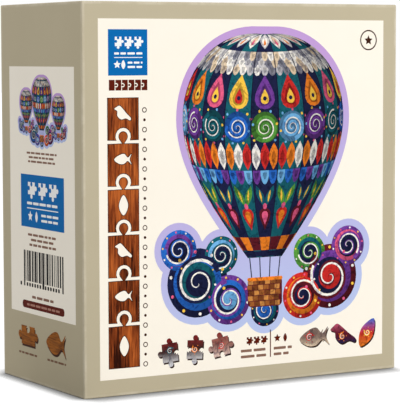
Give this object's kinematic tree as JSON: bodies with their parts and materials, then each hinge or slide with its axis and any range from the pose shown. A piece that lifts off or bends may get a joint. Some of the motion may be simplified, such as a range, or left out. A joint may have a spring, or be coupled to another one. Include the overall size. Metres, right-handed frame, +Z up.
{
  "type": "boxed jigsaw puzzle",
  "caption": "Upright square puzzle box with a full-depth lift-off lid over a base; inside, a clear pouch of loose wooden jigsaw pieces with knobs, sockets and figure shapes.",
  "frame": {"origin": "bottom centre of the closed box, on the face it stands on", "axes": "+Z up along the box's height, -Y out of the picture side of the lid, +X to the right seen from the front"},
  "size_m": [0.154, 0.078, 0.16],
  "materials": {
    "printed_wrap": "satin printed paper wrapped over greyboard",
    "base_wrap": "matt paper wrapped over greyboard",
    "clear_film": "clear glossy film",
    "printed_plywood": "thin plywood, printed face, laser-darkened edges",
    "bare_plywood": "thin plywood, laser-darkened edges"
  },
  "bodies": {
    "base": {"base": "base_wrap", "pouch": "clear_film", "joined_pieces_1": "bare_plywood", "joined_pieces_2": "bare_plywood", "joined_pieces_3": "bare_plywood", "figure_piece_bird": "printed_plywood", "figure_piece_butterfly": "printed_plywood", "figure_piece_fish": "printed_plywood", "figure_piece_heart": "printed_plywood", "figure_piece_leaf": "printed_plywood", "figure_piece_star": "printed_plywood", "piece_01": "printed_plywood", "piece_02": "printed_plywood", "piece_03": "printed_plywood", "piece_04": "printed_plywood", "piece_05": "printed_plywood", "piece_06": "printed_plywood", "piece_07": "printed_plywood", "piece_08": "printed_plywood", "piece_09": "printed_plywood", "piece_10": "printed_plywood", "piece_11": "printed_plywood", "piece_12": "printed_plywood", "piece_13": "printed_plywood", "piece_14": "printed_plywood", "piece_15": "printed_plywood", "piece_16": "printed_plywood", "piece_17": "printed_plywood", "piece_18": "printed_plywood", "piece_19": "printed_plywood", "piece_20": "printed_plywood", "piece_21": "printed_plywood", "piece_22": "printed_plywood", "piece_23": "printed_plywood", "piece_24": "printed_plywood", "piece_25": "printed_plywood", "piece_26": "printed_plywood", "piece_27": "printed_plywood", "piece_28": "printed_plywood", "piece_29": "printed_plywood", "piece_30": "printed_plywood", "piece_31": "printed_plywood", "piece_32": "printed_plywood", "piece_33": "printed_plywood", "piece_34": "printed_plywood", "piece_35": "printed_plywood", "piece_36": "printed_plywood"},
    "lid": {"lid": "printed_wrap"}
  },
  "joints": [
    {"name": "lid_slide", "type": "slide", "parent": "base", "child": "lid", "axis": [0, -1, 0], "range_m": [0, 0.2]}
  ]
}
